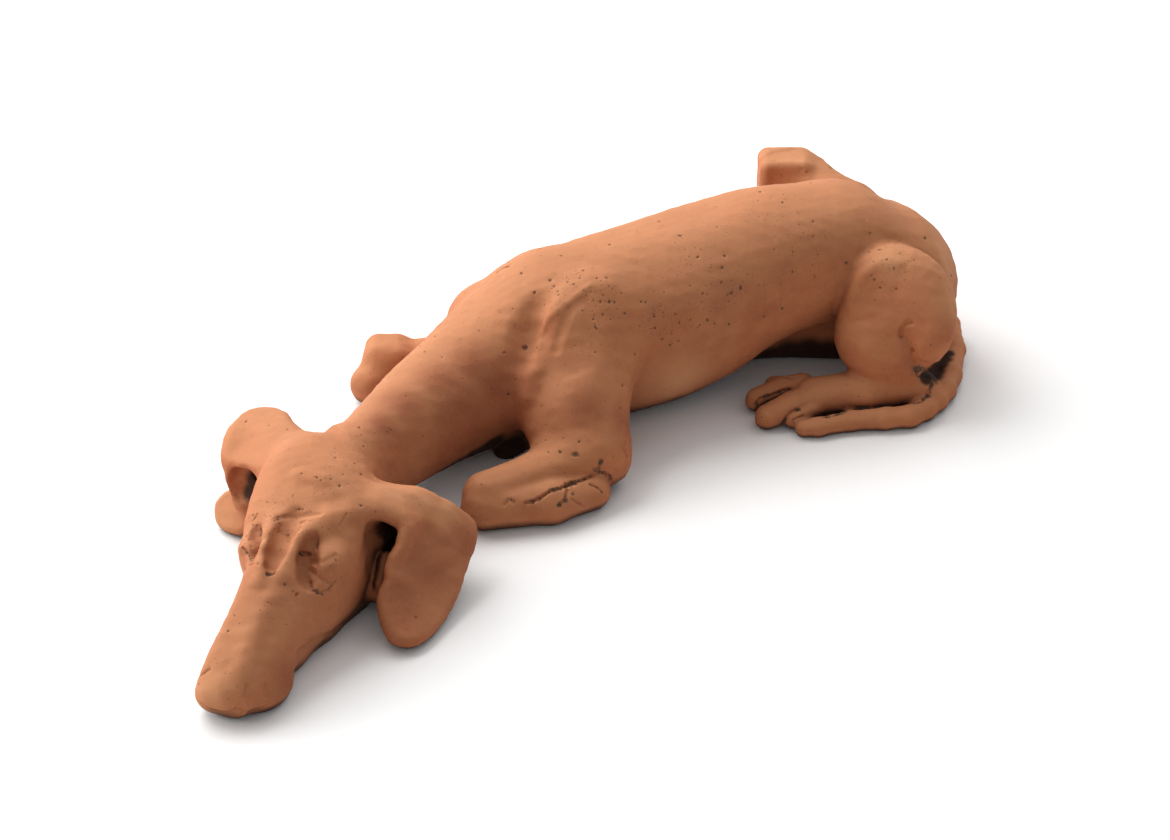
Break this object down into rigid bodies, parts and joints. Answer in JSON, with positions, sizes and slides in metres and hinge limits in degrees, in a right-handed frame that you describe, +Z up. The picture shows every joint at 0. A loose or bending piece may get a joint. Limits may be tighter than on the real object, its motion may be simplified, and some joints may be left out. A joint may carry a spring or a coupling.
{
  "type": "terracotta dog figure",
  "caption": "Hand-built terracotta figure of a lean hound lying with its head on the floor, ears spread, forelegs folded and tail curled along the hind foot.",
  "frame": {"origin": "middle of the figure's outline on the floor, at the height of its underside", "axes": "+X from nose to rump, -Y to the dog's left side, +Z up from the floor"},
  "size_m": [0.51, 0.2443, 0.1036],
  "materials": {
    "terracotta": "matt, unglazed, with small pits and dark dirt in the creases"
  },
  "bodies": {
    "root": {"dog": "terracotta"}
  },
  "joints": []
}
